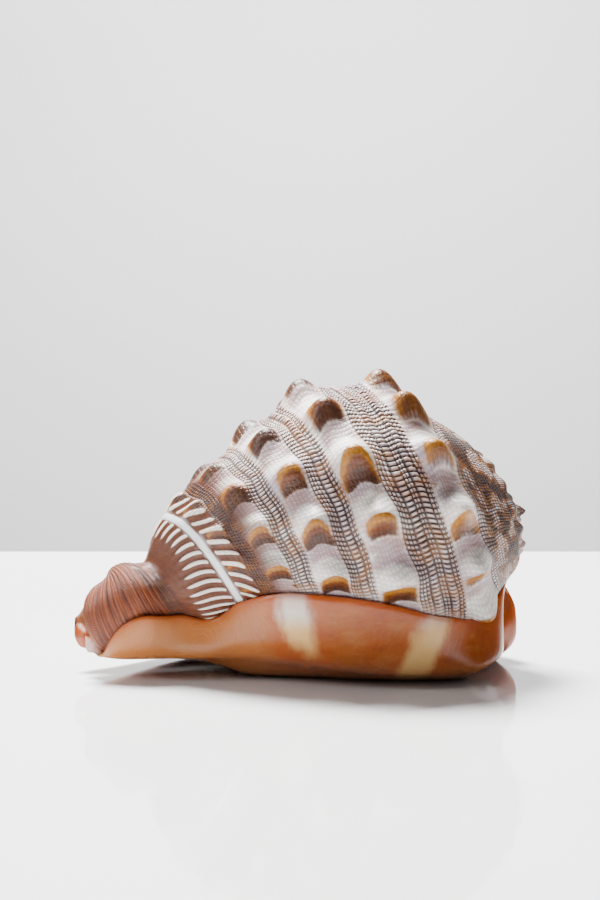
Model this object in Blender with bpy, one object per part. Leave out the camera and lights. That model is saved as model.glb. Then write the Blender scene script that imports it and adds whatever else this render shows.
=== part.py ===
"""Large helmet shell with knobbed whorls, lying on its toothed opening, as one closed solid."""
import math

import bmesh
import bpy
import numpy as np

MM = 0.001

# Coil: where its axis starts, how the axis leans, and how much the shell grows in one turn
APEX = np.array([74.4, 6.0, 53.5])
AXIS_YAW = math.radians(12.5)
AXIS_PITCH = math.radians(12.0)
BODY_GROWTH = math.log(1.6)
SPIRE_GROWTH = math.log(1.9)
FAR_GROWTH = 0.04
FAR_FLATTENING = 0.22
CANAL_GROWTH = 0.16
APEX_DROP = 4.6
CANAL_DROP = 3.5
RIM_DROP = 2.0
CANAL_BEND = 0.0034
GROOVE_SLANT = 4.4

# Outline of the outer wall over the top: distance along the axis, radius
WALL = (
    (-0.6, 0.0), (0.6, 1.3), (2.6, 2.6), (4.2, 4.6), (6.0, 7.8), (8.8, 13.4), (12.6, 20.4),
    (16.8, 26.0), (21.4, 30.4), (25.8, 34.0), (30.2, 37.8), (35.0, 41.8), (40.0, 45.2),
    (46.0, 47.6), (52.0, 49.0), (60.0, 49.6), (67.3, 48.6), (77.0, 45.2), (86.9, 40.8),
    (95.0, 36.4), (103.3, 32.0), (110.0, 28.0), (114.6, 24.6), (119.0, 21.0), (123.0, 17.4),
    (126.0, 13.6), (128.5, 10.8), (131.0, 11.2), (135.0, 12.6), (140.0, 12.4), (145.0, 11.6),
    (149.0, 11.0), (152.0, 10.2), (154.0, 9.6),
)
LAST_ROW = 154.0

# Rim of the canal: turning angle, x, y, z
CANAL_RIM = (
    (-90.0, -61.0, -13.0, 4.6), (-60.0, -62.5, -15.5, 4.8), (-40.0, -64.0, -17.5, 5.6),
    (-20.0, -66.5, -20.0, 8.2), (0.0, -68.5, -21.5, 12.6), (20.0, -70.0, -21.0, 17.2),
    (45.0, -69.8, -19.0, 22.2), (70.0, -68.0, -15.5, 25.6), (90.0, -66.5, -12.0, 26.6),
    (120.0, -67.5, -6.0, 24.4), (150.0, -71.0, -1.5, 19.4), (180.0, -74.0, 0.0, 14.0),
    (222.0, -75.0, -1.0, 11.5),
)

# Knob rows: distance along the axis, height, half length along the axis
KNOB_ROWS = (
    (40.0, 7.6, 6.2), (67.3, 6.6, 6.0), (86.9, 4.8, 5.2), (103.3, 3.0, 4.6), (114.6, 1.6, 3.4),
)
KNOB_LEAN = 0.15
SUTURES = ((14.7, 1.0), (8.4, 0.55), (5.4, 0.3))
KNOB_STEP = 25.9
KNOB_START = 88.5
KNOB_SKEW = (2.6, 1.2)

# Shield edge on the near side: distance along the axis, turning angle where the shield ends
SHIELD_EDGE = (
    (-1.0, -58.0), (40.0, -58.0), (52.0, -42.0), (60.0, -34.0), (67.3, -27.5), (77.0, -22.5),
    (86.9, -19.5), (95.0, -18.0), (106.0, -17.5), (114.6, -23.5), (120.0, -34.0),
    (125.0, -50.0), (129.0, -56.0), (133.0, -50.0), (137.0, -33.0), (140.0, -20.0),
    (144.0, -12.0), (147.0, -13.0), (150.0, -22.0), (154.0, -42.0),
)
LIP_ANGLE = 222.0
EVEN_FROM = 1.5
REST_LIFT = 3.5
PAD_DEPTH = 4.6

# Curves of the underside: distance along the axis, x, y, z
LIP_RIM = (
    (20.0, 58.0, 14.0, 26.0), (25.0, 67.0, 13.0, 19.5), (29.0, 73.0, 13.0, 11.5),
    (33.0, 73.5, 16.0, 3.5), (37.0, 69.0, 23.0, -0.6), (42.0, 61.0, 32.0, -1.2),
    (50.0, 46.0, 42.0, -1.2), (60.0, 26.0, 48.5, -1.0), (70.0, 8.0, 49.0, -1.0),
    (82.0, -10.0, 45.0, -1.0), (95.0, -26.0, 38.0, -0.8), (110.0, -43.0, 27.0, -0.2),
    (122.0, -54.0, 16.5, 1.2), (133.0, -62.5, 7.5, 3.0), (143.0, -69.5, 1.5, 5.0),
    (154.0, -75.0, -3.5, 8.4),
)
SHIELD_FOOT = (
    (20.0, 62.0, -2.0, 18.0), (25.0, 66.0, -5.0, 12.0), (30.0, 67.0, -11.0, 6.5),
    (35.0, 65.0, -20.0, 4.2), (40.0, 60.0, -28.0, 2.2), (50.0, 50.0, -30.5, 0.0),
    (60.0, 39.0, -32.0, 0.0), (67.0, 31.0, -32.0, 0.0), (77.0, 21.0, -31.0, 0.3),
    (87.0, 10.0, -29.0, 1.2), (103.0, -5.0, -26.0, 2.4), (114.6, -16.0, -23.5, 3.2),
    (122.0, -24.0, -22.0, 3.8), (129.0, -33.0, -21.5, 3.8), (136.0, -43.5, -20.0, 3.4),
    (142.0, -52.0, -20.0, 3.2), (147.0, -58.0, -20.0, 3.2), (154.0, -65.5, -18.5, 3.8),
)
SLIT = (
    (20.0, 62.0, 6.0, 20.0), (25.0, 65.0, 6.0, 13.0), (30.0, 66.0, 7.5, 6.0),
    (35.0, 61.0, 11.0, 1.8), (42.0, 53.0, 15.5, 0.2), (50.0, 45.0, 18.0, 0.2),
    (60.0, 32.0, 19.0, 0.2), (70.0, 19.0, 18.0, 0.2), (82.0, 5.0, 15.5, 0.2),
    (95.0, -11.0, 11.0, 0.3), (110.0, -29.0, 5.0, 0.8), (122.0, -43.0, 0.0, 2.2),
    (133.0, -55.0, -4.0, 3.8), (143.0, -63.0, -6.5, 4.8), (154.0, -70.5, -9.0, 6.2),
)
SLIT_HALF = (
    (20.0, 0.4), (25.0, 0.8), (30.0, 2.0), (38.0, 4.0), (50.0, 4.8), (70.0, 5.0), (100.0, 4.8),
    (122.0, 3.8), (143.0, 3.0), (154.0, 2.6),
)
CAVITY_DEPTH = ((20.0, 0.0), (26.0, 0.05), (34.0, 0.35), (46.0, 0.9), (54.0, 1.0), (160.0, 1.0))
WALL_THICKNESS = ((20.0, 3.0), (40.0, 5.0), (60.0, 5.5), (100.0, 5.5), (122.0, 4.6), (135.0, 3.6),
                  (154.0, 2.0))

# Cavity behind the opening: turning angle, share of the radius, turning angle in the canal
CAVITY = (
    (188.0, 1.0, 205.0), (150.0, 1.0, 165.0), (108.0, 1.0, 122.0), (66.0, 0.78, 78.0),
    (96.0, 0.30, 28.0), (170.0, 0.24, -25.0),
)

# Mesh: columns in the near, even and far parts of the wall, then along the underside
NEAR_COLUMNS = 8
EVEN_COLUMNS = 43
FAR_COLUMNS = 6
UNDER_COLUMNS = (1, 2, 2, 2, 2, 2, 2, 2, 2, 2, 2, 2, 1, 1, 2, 2, 1, 1, 2, 1)
LIP_FOOT_KEY = 2
SHIELD_FOOT_KEY = 16
ROW_STATIONS = (
    (-0.6, 0), (0.4, 1), (2.4, 1), (4.2, 1), (5.4, 1), (7.3, 1), (8.4, 1), (10.4, 1), (12.8, 1),
    (14.7, 1), (17.2, 1), (40.0, 6), (67.3, 7), (86.9, 6), (103.3, 5), (114.6, 4),
    (128.5, 5), (135.0, 3), (154.0, 7),
)


def smooth_curve(at, table, column=1):
    """Smooth curve through a table's points, read at the places given."""
    knots = np.array([line[0] for line in table])
    heights = np.array([line[column] for line in table])
    steps = np.diff(knots)
    slopes = np.diff(heights) / steps
    tangents = np.empty_like(heights)
    tangents[0] = slopes[0]
    tangents[-1] = slopes[-1]
    tangents[1:-1] = (slopes[:-1] * steps[1:] + slopes[1:] * steps[:-1]) / (steps[1:] + steps[:-1])
    at = np.clip(at, knots[0], knots[-1])
    cell = np.clip(np.searchsorted(knots, at, side="right") - 1, 0, len(steps) - 1)
    width = steps[cell]
    part = (at - knots[cell]) / width
    rest = 1.0 - part
    return (heights[cell] * (1.0 + 2.0 * part) * rest ** 2
            + heights[cell + 1] * (3.0 - 2.0 * part) * part ** 2
            + width * tangents[cell] * part * rest ** 2
            - width * tangents[cell + 1] * rest * part ** 2)


def smooth_point(at, table):
    return np.stack([smooth_curve(at, table, axis) for axis in (1, 2, 3)], axis=-1)


def ease(value):
    value = np.clip(value, 0.0, 1.0)
    return value * value * (3.0 - 2.0 * value)


def axis_frame():
    along = np.array([
        -math.cos(AXIS_YAW) * math.cos(AXIS_PITCH),
        -math.sin(AXIS_YAW) * math.cos(AXIS_PITCH),
        -math.sin(AXIS_PITCH),
    ])
    near = np.array([math.sin(AXIS_YAW), -math.cos(AXIS_YAW), 0.0])
    return along, near, np.cross(along, near)


def coil_point(row, angle, radius, lift=0.0):
    """Place on the coil: row is the distance along the axis over the top of the shell."""
    along, near, up = axis_frame()
    turn = (angle - 90.0) / 360.0
    spire = 1.0 - ease((row - 22.0) / 18.0)
    growth = BODY_GROWTH + (SPIRE_GROWTH - BODY_GROWTH) * spire
    canal = ease((row - 112.0) / 30.0)
    growth = growth + (CANAL_GROWTH - growth) * canal
    late = ease((row - 24.0) / 16.0) * np.clip(turn, 0.0, None)
    scale = np.exp(growth * turn - (growth - FAR_GROWTH) * late)
    sag = (0.5 + 0.5 * np.cos(np.radians(angle + 70.0))) ** 1.5
    posterior = 1.0 - ease((row - 40.0) / 40.0)
    forward = row * scale - 5.0 * sag * posterior * ease(row / 22.0) - KNOB_LEAN * lift * posterior
    outward = radius * scale * np.exp(-FAR_FLATTENING * late) + lift
    drop = APEX_DROP * np.clip(1.0 - row / 50.0, 0.0, 1.0) ** 2
    drop = drop + CANAL_DROP * ease((row - 120.0) / 14.0)
    drop = drop + RIM_DROP * ease((row - 136.0) / 16.0)
    bend = CANAL_BEND * np.clip(row - 90.0, 0.0, None) ** 2
    turned = np.radians(angle)
    place = APEX + forward[..., None] * along
    place = place + (outward * np.cos(turned))[..., None] * near
    place = place + (outward * np.sin(turned) - drop)[..., None] * up
    place[..., 1] += bend
    return place


def suture_height(row, angle):
    """Step between the whorls of the spire, with a string of small knobs on its apex side."""
    height = np.zeros(np.broadcast(row, angle).shape)
    wave = 0.5 + 0.5 * np.cos(2.0 * np.pi * (angle - KNOB_START) / KNOB_STEP)
    for place, size in SUTURES:
        from_step = (row - place) / size
        height = height - 1.1 * size * np.exp(-(from_step / 0.9) ** 2)
        height = height + size * (0.5 + 1.3 * wave) * np.exp(-((from_step + 2.0) / 1.1) ** 2)
    return height


def knob_height(row, angle):
    height = np.zeros(np.broadcast(row, angle).shape)
    for number, (centre, rise, half) in enumerate(KNOB_ROWS):
        start = KNOB_START + KNOB_SKEW[0] * number + KNOB_SKEW[1] * number ** 2
        wave = 0.5 + 0.5 * np.cos(2.0 * np.pi * (angle - start) / KNOB_STEP)
        band = np.exp(-np.abs((row - centre) / half) ** 2.4)
        height = height + rise * band * (0.14 + 0.86 * wave ** 1.9)
    return height


def slanted_row(row, angle):
    """The groove beside the canal slants: towards the shield it lies nearer to the canal's end."""
    along = ease((row - 119.5) / 10.0) * ease((153.0 - row) / 10.0)
    return row - GROOVE_SLANT * ease((80.0 - angle) / 95.0) * along


def rim_shift(row, angle):
    """Moves the last rows of the coil onto the canal's rim."""
    last = np.full(np.broadcast(row, angle).shape, LAST_ROW)
    angle = angle + 0.0 * last
    plain = coil_point(last, angle, smooth_curve(last, WALL))
    return ease((row - 138.0) / (LAST_ROW - 138.0))[..., None] * (smooth_point(angle, CANAL_RIM) - plain)


def wall_point(row, angle):
    radius = smooth_curve(slanted_row(row, angle), WALL)
    fade = ease((angle - smooth_curve(row, SHIELD_EDGE)) / 14.0) * ease((LIP_ANGLE - angle) / 28.0)
    steps = suture_height(row, angle)
    forward = -1.0 * steps
    place = coil_point(row, angle, radius, knob_height(row, angle) * fade)
    return place + forward[..., None] * axis_frame()[0] + rim_shift(row, angle)


def cavity_point(row, angle, share):
    """Place inside the shell: share 1 lies under the wall, 0 lies on the axis."""
    radius = smooth_curve(slanted_row(row, angle), WALL) - smooth_curve(row, WALL_THICKNESS) * np.exp(
        -BODY_GROWTH * (angle - 90.0) / 360.0)
    return coil_point(row, angle, np.maximum(radius, 1.0) * share) + rim_shift(row, angle)


def underside_keys(row, first, last, tooth):
    """Points that the underside passes through, from the lip's outer face round to the shield's edge."""
    rim = smooth_point(row, LIP_RIM)
    foot = smooth_point(row, SHIELD_FOOT)
    slit = smooth_point(row, SLIT)
    half = smooth_curve(row, SLIT_HALF)
    depth = np.minimum(smooth_curve(row, CAVITY_DEPTH), 1.0)[:, None]

    def beside(base, y, z):
        moved = base.copy()
        moved[:, 1] += y
        moved[:, 2] = np.maximum(moved[:, 2] + z, -REST_LIFT)
        return moved

    lip_edge = beside(slit, half - tooth, -1.0)
    lip_inner = beside(slit, half, -1.0)
    lip_inner = lip_inner + 0.3 * (rim - lip_inner) + np.array([0.0, 0.0, -1.6])
    lip_foot = 0.55 * rim + 0.45 * lip_inner
    lip_foot[:, 2] = np.minimum(rim[:, 2] - 3.0, lip_foot[:, 2])
    inner_edge = beside(slit, -half, 0.0)
    shield_inner = inner_edge + 0.16 * (foot - inner_edge) + np.array([0.0, 0.0, -1.4])
    shield_mid = 0.58 * foot + 0.42 * shield_inner
    shield_mid[:, 2] += 0.6 - PAD_DEPTH * ease((row - 38.0) / 8.0) * ease((124.0 - row) / 16.0)
    middle = 0.5 * (lip_edge + inner_edge)
    canal = ease((row - 116.0) / 16.0)
    throat_far = beside(slit, half + 2.0 - 1.8 * canal, 7.0 - 3.5 * canal)
    throat_far = middle + depth * (throat_far - middle)
    throat_near = beside(slit, -half - 1.5 + canal, 9.0 - 5.5 * canal)
    throat_near = middle + depth * (throat_near - middle)
    inside = []
    for angle, share, canal_angle in CAVITY:
        turned = angle + (canal_angle - angle) * canal
        place = cavity_point(row, turned, share + (1.0 - share) * canal)
        inside.append(middle + depth * (place - middle))
    height = np.linalg.norm(last - foot, axis=1)
    under = foot + 0.28 * (last - foot)
    under[:, 1] -= 0.16 * height + 0.6
    under[:, 2] -= 0.10 * height
    bulge = foot + 0.68 * (last - foot)
    bulge[:, 1] -= 0.10 * height + 1.6
    edge_size = (1.0 - 0.6 * ease((row - 138.0) / 12.0))[:, None]
    crest = last + edge_size * np.array([0.0, -2.4, 0.5])
    keys = [first, rim, lip_foot, lip_inner, lip_edge, throat_far, *inside, throat_near,
            inner_edge, shield_inner, shield_mid, foot, under, bulge, crest, last]
    return keys


def through_keys(keys, columns):
    """Rounded path through the keys, with the number of columns given for each stretch."""
    places = []
    for number, count in enumerate(columns):
        before = keys[max(number - 1, 0)]
        start = keys[number]
        end = keys[number + 1]
        after = keys[min(number + 2, len(keys) - 1)]
        for step in range(count):
            part = step / count
            start_pull = 0.5 * (end - before)
            end_pull = 0.5 * (after - start)
            length = np.linalg.norm(end - start, axis=1, keepdims=True)
            reach = np.linalg.norm(start_pull, axis=1, keepdims=True) + 1e-9
            start_pull *= np.minimum(1.0, length / reach)
            end_pull *= np.minimum(1.0, length / (np.linalg.norm(end_pull, axis=1, keepdims=True) + 1e-9))
            rest = 1.0 - part
            places.append(start * (1 + 2 * part) * rest ** 2 + end * (3 - 2 * part) * part ** 2
                          + start_pull * part * rest ** 2 - end_pull * rest * part ** 2)
    return places


def row_places():
    rows = []
    previous = None
    for end, count in ROW_STATIONS:
        for step in range(1, count + 1):
            rows.append(previous + (end - previous) * step / count)
        previous = end
    return np.array(rows)


def shell_places(rows):
    """Every row's ring of places, rows by columns by three, in millimetres."""
    edge = smooth_curve(rows, SHIELD_EDGE)
    even_to = EVEN_FROM + EVEN_COLUMNS * KNOB_STEP / 6.0
    angles = []
    for step in range(NEAR_COLUMNS):
        angles.append(edge + (EVEN_FROM - edge) * step / NEAR_COLUMNS)
    for step in range(EVEN_COLUMNS):
        angles.append(np.full(rows.shape, EVEN_FROM + KNOB_STEP / 6.0 * step))
    for step in range(FAR_COLUMNS + 1):
        angles.append(np.full(rows.shape, even_to + (LIP_ANGLE - even_to) * step / FAR_COLUMNS))
    opening = ease((rows - 19.0) / 9.0)[:, None]
    rim = smooth_point(rows, LIP_RIM)
    first_target = rim + np.array([0.0, 1.4, 5.5])
    wall_end = wall_point(rows, angles[-1])
    columns = []
    for angle in angles:
        pull = ease((angle - 150.0) / (LIP_ANGLE - 150.0))[:, None]
        columns.append(wall_point(rows, angle) + opening * pull * (first_target - wall_end))
    first = columns.pop()
    last = columns[0]
    tooth = 1.1 * (rows > 36.0) * (rows < 122.0) * (np.arange(len(rows)) % 2)
    keys = underside_keys(rows, first, last, tooth)
    under = through_keys(keys, UNDER_COLUMNS)
    for number, place in enumerate(under):
        share = number / len(under)
        straight = wall_end * (1.0 - share) + last * share
        hump = 0.16 * np.sin(np.pi * share) * smooth_curve(rows, WALL)
        outward = straight - (APEX + rows[:, None] * axis_frame()[0])
        outward /= np.linalg.norm(outward, axis=1, keepdims=True) + 1e-9
        closed = straight + hump[:, None] * outward
        columns.append(closed + opening * (place - closed))
    places = np.stack(columns, axis=1)
    places[..., 2] = np.maximum(places[..., 2] + REST_LIFT, 0.0)
    return places


def edge_between(first, second):
    return next(edge for edge in first.link_edges if second in edge.verts)


def close_canal(mesh, ring):
    """Joins the outer and inner edges of the canal's rim, leaving the canal open."""
    wall_columns = NEAR_COLUMNS + EVEN_COLUMNS + FAR_COLUMNS
    lip = wall_columns + sum(UNDER_COLUMNS[:LIP_FOOT_KEY])
    foot = wall_columns + sum(UNDER_COLUMNS[:SHIELD_FOOT_KEY])
    outer = ring[foot + 1:] + ring[:lip]
    inner = ring[lip + 1:foot]
    edges = []
    for chain in (outer, inner):
        for first, second in zip(chain, chain[1:]):
            edges.append(edge_between(first, second))
    bmesh.ops.bridge_loops(mesh, edges=edges)
    open_edges = [edge for edge in mesh.edges if edge.is_boundary]
    bmesh.ops.holes_fill(mesh, edges=open_edges, sides=4)


def clear_scene():
    for old in list(bpy.data.objects):
        bpy.data.objects.remove(old)


def make_material(name, colour, roughness):
    material = bpy.data.materials.new(name)
    material.use_nodes = True
    shader = material.node_tree.nodes["Principled BSDF"]
    shader.inputs["Base Color"].default_value = colour
    shader.inputs["Roughness"].default_value = roughness
    shader.inputs["Metallic"].default_value = 0.0
    return material


def build_shell():
    rows = row_places()
    places = shell_places(rows)
    count_rows, count_columns = places.shape[:2]
    centre = 0.5 * (places.min(axis=(0, 1)) + places.max(axis=(0, 1)))
    centre[2] = 0.0
    places = (places - centre) * MM
    mesh = bmesh.new()
    bmesh.ops.create_uvsphere(
        mesh, u_segments=count_columns, v_segments=count_rows + 1, radius=1.0)
    end_pole = None
    last_ring = [None] * count_columns
    apex = (APEX - centre + np.array([0.9, 0.15, REST_LIFT - APEX_DROP + 0.3])) * MM
    for vert in mesh.verts:
        polar = math.acos(max(-1.0, min(1.0, vert.co.z)))
        ring = round(polar / math.pi * (count_rows + 1)) - 1
        column = round(math.atan2(vert.co.y, vert.co.x) / (2.0 * math.pi) * count_columns)
        if ring < 0:
            vert.co = apex
        elif ring >= count_rows:
            end_pole = vert
        else:
            vert.co = places[ring, column % count_columns]
            if ring == count_rows - 1:
                last_ring[column % count_columns] = vert
    bmesh.ops.delete(mesh, geom=[end_pole], context="VERTS")
    close_canal(mesh, last_ring)
    bmesh.ops.recalc_face_normals(mesh, faces=mesh.faces)
    if mesh.calc_volume(signed=True) < 0.0:
        bmesh.ops.reverse_faces(mesh, faces=mesh.faces)
    data = bpy.data.meshes.new("shell")
    mesh.to_mesh(data)
    mesh.free()
    data.shade_smooth()
    data.set_sharp_from_angle(angle=math.radians(50.0))
    return bpy.data.objects.new("shell", data)


def main():
    clear_scene()
    collection = bpy.data.collections.new("helmet_shell")
    bpy.context.scene.collection.children.link(collection)
    shell = build_shell()
    shell.data.materials.append(make_material("shell_wall", (0.80, 0.66, 0.54, 1.0), 0.35))
    collection.objects.link(shell)


main()
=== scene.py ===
"""Bullmouth helmet shell resting on a pale table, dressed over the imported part."""

import math

import bmesh
import bpy
import numpy as np
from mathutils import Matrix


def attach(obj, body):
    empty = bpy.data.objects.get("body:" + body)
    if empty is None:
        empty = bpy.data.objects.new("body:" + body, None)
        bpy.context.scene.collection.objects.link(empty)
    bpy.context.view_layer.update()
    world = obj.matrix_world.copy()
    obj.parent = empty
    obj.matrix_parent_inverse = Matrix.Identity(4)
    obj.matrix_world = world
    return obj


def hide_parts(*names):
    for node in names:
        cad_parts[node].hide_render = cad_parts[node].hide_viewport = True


bl_info = {
    "name": "Helmet Shell",
    "version": (1, 0, 0),
    "blender": (4, 5, 0),
    "location": "3D View > Sidebar > Helmet Shell",
    "description": "Builds a knobbed helmet shell with beaded whorls and a glossy shield, and its table",
    "category": "Add Mesh",
}

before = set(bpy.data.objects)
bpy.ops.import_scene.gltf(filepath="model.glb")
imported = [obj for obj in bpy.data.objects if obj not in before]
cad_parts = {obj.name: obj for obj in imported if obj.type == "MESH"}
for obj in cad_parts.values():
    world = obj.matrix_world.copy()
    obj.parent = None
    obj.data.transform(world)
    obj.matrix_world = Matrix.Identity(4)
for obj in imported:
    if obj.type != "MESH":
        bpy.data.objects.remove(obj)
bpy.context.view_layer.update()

MM = 0.001

# Coil of the solid, in millimetres and degrees
PLACE_SHIFT = np.array([-0.14, -1.503, 0.0])
APEX = np.array([74.4, 6.0, 53.5])
AXIS_YAW = math.radians(12.5)
AXIS_PITCH = math.radians(12.0)
BODY_GROWTH = math.log(1.6)
SPIRE_GROWTH = math.log(1.9)
FAR_GROWTH = 0.04
FAR_FLATTENING = 0.22
CANAL_GROWTH = 0.16
APEX_DROP = 4.6
CANAL_DROP = 3.5
RIM_DROP = 2.0
CANAL_BEND = 0.0034
GROOVE_SLANT = 4.4
REST_LIFT = 3.5
PAD_DEPTH = 4.6

# Outline of the outer wall over the top: distance along the axis, radius
WALL = (
    (-0.6, 0.0), (0.6, 1.3), (2.6, 2.6), (4.2, 4.6), (6.0, 7.8), (8.8, 13.4), (12.6, 20.4),
    (16.8, 26.0), (21.4, 30.4), (25.8, 34.0), (30.2, 37.8), (35.0, 41.8), (40.0, 45.2),
    (46.0, 47.6), (52.0, 49.0), (60.0, 49.6), (67.3, 48.6), (77.0, 45.2), (86.9, 40.8),
    (95.0, 36.4), (103.3, 32.0), (110.0, 28.0), (114.6, 24.6), (119.0, 21.0), (123.0, 17.4),
    (126.0, 13.6), (128.5, 10.8), (131.0, 11.2), (135.0, 12.6), (140.0, 12.4), (145.0, 11.6),
    (149.0, 11.0), (152.0, 10.2), (154.0, 9.6),
)
LAST_ROW = 154.0

# Rim of the canal: turning angle, x, y, z
CANAL_RIM = (
    (-90.0, -61.0, -13.0, 4.6), (-60.0, -62.5, -15.5, 4.8), (-40.0, -64.0, -17.5, 5.6),
    (-20.0, -66.5, -20.0, 8.2), (0.0, -68.5, -21.5, 12.6), (20.0, -70.0, -21.0, 17.2),
    (45.0, -69.8, -19.0, 22.2), (70.0, -68.0, -15.5, 25.6), (90.0, -66.5, -12.0, 26.6),
    (120.0, -67.5, -6.0, 24.4), (150.0, -71.0, -1.5, 19.4), (180.0, -74.0, 0.0, 14.0),
    (222.0, -75.0, -1.0, 11.5),
)

# Knob rows: distance along the axis, height, half length along the axis
KNOB_ROWS = (
    (40.0, 7.6, 6.2), (67.3, 6.6, 6.0), (86.9, 4.8, 5.2), (103.3, 3.0, 4.6), (114.6, 1.6, 3.4),
)
KNOB_LEAN = 0.15
KNOB_STEP = 25.9
KNOB_START = 88.5
KNOB_SKEW = (2.6, 1.2)
# How golden and how brown each knob row is
KNOB_TINTS = ((1.0, 0.6), (1.0, 0.8), (0.9, 1.0), (0.75, 1.0), (0.5, 0.9))
SUTURES = ((14.7, 1.0), (8.4, 0.55), (5.4, 0.3))

# Shield edge on the near side: distance along the axis, turning angle where the shield ends
SHIELD_EDGE = (
    (-1.0, -58.0), (40.0, -58.0), (52.0, -42.0), (60.0, -34.0), (67.3, -27.5), (77.0, -22.5),
    (86.9, -19.5), (95.0, -18.0), (106.0, -17.5), (114.6, -23.5), (120.0, -34.0),
    (125.0, -50.0), (129.0, -56.0), (133.0, -50.0), (137.0, -33.0), (140.0, -20.0),
    (144.0, -12.0), (147.0, -13.0), (150.0, -22.0), (154.0, -42.0),
)
LIP_ANGLE = 222.0
EVEN_FROM = 1.5

# Curves of the underside: distance along the axis, x, y, z
LIP_RIM = (
    (20.0, 58.0, 14.0, 26.0), (25.0, 67.0, 13.0, 19.5), (29.0, 73.0, 13.0, 11.5),
    (33.0, 73.5, 16.0, 3.5), (37.0, 69.0, 23.0, -0.6), (42.0, 61.0, 32.0, -1.2),
    (50.0, 46.0, 42.0, -1.2), (60.0, 26.0, 48.5, -1.0), (70.0, 8.0, 49.0, -1.0),
    (82.0, -10.0, 45.0, -1.0), (95.0, -26.0, 38.0, -0.8), (110.0, -43.0, 27.0, -0.2),
    (122.0, -54.0, 16.5, 1.2), (133.0, -62.5, 7.5, 3.0), (143.0, -69.5, 1.5, 5.0),
    (154.0, -75.0, -3.5, 8.4),
)
SHIELD_FOOT = (
    (20.0, 62.0, -2.0, 18.0), (25.0, 66.0, -5.0, 12.0), (30.0, 67.0, -11.0, 6.5),
    (35.0, 65.0, -20.0, 4.2), (40.0, 60.0, -28.0, 2.2), (50.0, 50.0, -30.5, 0.0),
    (60.0, 39.0, -32.0, 0.0), (67.0, 31.0, -32.0, 0.0), (77.0, 21.0, -31.0, 0.3),
    (87.0, 10.0, -29.0, 1.2), (103.0, -5.0, -26.0, 2.4), (114.6, -16.0, -23.5, 3.2),
    (122.0, -24.0, -22.0, 3.8), (129.0, -33.0, -21.5, 3.8), (136.0, -43.5, -20.0, 3.4),
    (142.0, -52.0, -20.0, 3.2), (147.0, -58.0, -20.0, 3.2), (154.0, -65.5, -18.5, 3.8),
)
SLIT = (
    (20.0, 62.0, 6.0, 20.0), (25.0, 65.0, 6.0, 13.0), (30.0, 66.0, 7.5, 6.0),
    (35.0, 61.0, 11.0, 1.8), (42.0, 53.0, 15.5, 0.2), (50.0, 45.0, 18.0, 0.2),
    (60.0, 32.0, 19.0, 0.2), (70.0, 19.0, 18.0, 0.2), (82.0, 5.0, 15.5, 0.2),
    (95.0, -11.0, 11.0, 0.3), (110.0, -29.0, 5.0, 0.8), (122.0, -43.0, 0.0, 2.2),
    (133.0, -55.0, -4.0, 3.8), (143.0, -63.0, -6.5, 4.8), (154.0, -70.5, -9.0, 6.2),
)
# By distance along the axis: half width of the slit, share of the cavity's depth, wall over it
SLIT_HALF = (
    (20.0, 0.4), (25.0, 0.8), (30.0, 2.0), (38.0, 4.0), (50.0, 4.8), (70.0, 5.0), (100.0, 4.8),
    (122.0, 3.8), (143.0, 3.0), (154.0, 2.6),
)
CAVITY_DEPTH = ((20.0, 0.0), (26.0, 0.05), (34.0, 0.35), (46.0, 0.9), (54.0, 1.0), (160.0, 1.0))
WALL_THICKNESS = (
    (20.0, 3.0), (40.0, 5.0), (60.0, 5.5), (100.0, 5.5), (122.0, 4.6), (135.0, 3.6), (154.0, 2.0),
)
# Way round the cavity: turning angle, share of the radius, turning angle in the canal
CAVITY = (
    (188.0, 1.0, 205.0), (150.0, 1.0, 165.0), (108.0, 1.0, 122.0), (66.0, 0.78, 78.0),
    (96.0, 0.30, 28.0), (170.0, 0.24, -25.0),
)

# Spiral cords from the apex to the canal: where a zone ends, the cords' widths in it, how high
# the cords stand, and how deeply the riblets cut them
CORD_ZONES = (
    (14.2, (1.1,) * 13, 0.30, 0.5),
    (33.5, (1.3,) * 15, 0.60, 0.6),
    (46.5, (1.3,) * 10, 0.07, 0.2),
    (61.0, (1.0, 1.1, 3.2, 1.0, 1.0, 3.4, 1.2, 1.1, 1.1), 1.15, 1.0),
    (73.5, (1.3,) * 10, 0.07, 0.2),
    (81.5, (1.0, 1.0, 3.0, 1.0, 1.0, 1.0), 1.05, 1.0),
    (92.3, (1.3,) * 8, 0.07, 0.2),
    (99.0, (0.9, 0.9, 2.4, 0.9, 0.9), 0.85, 1.0),
    (107.6, (1.34,) * 6, 0.08, 0.3),
    (111.2, (0.8,) * 4, 0.60, 1.0),
    (118.0, (1.36,) * 5, 0.06, 0.2),
    (120.0, (2.0,), 0.50, 0.0),
    (126.4, (1.3,) * 5, 0.04, 0.0),
    (130.5, (1.36,) * 3, 0.04, 0.0),
    (154.0, (1.5,) * 16, 0.16, 0.0),
)
RIBLETS_PER_KNOB = 12
BASE_RIB_STEP = KNOB_STEP / 2.5
KNOB_PUSH = 1.2

# Mesh: columns in the near, even and far parts of the wall, then along the underside
NEAR_COLUMNS = 68
EVEN_COLUMNS = 258
FAR_COLUMNS = 25
UNDER_COLUMNS = (2, 3, 2, 2, 3, 3, 2, 2, 2, 2, 2, 2, 1, 2, 4, 4, 2, 2, 3, 3)
LIP_FOOT_KEY = 2
SHIELD_FOOT_KEY = 16
TOOTH_STEP = 4.4
FOLD_STEP = 2.8

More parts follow.
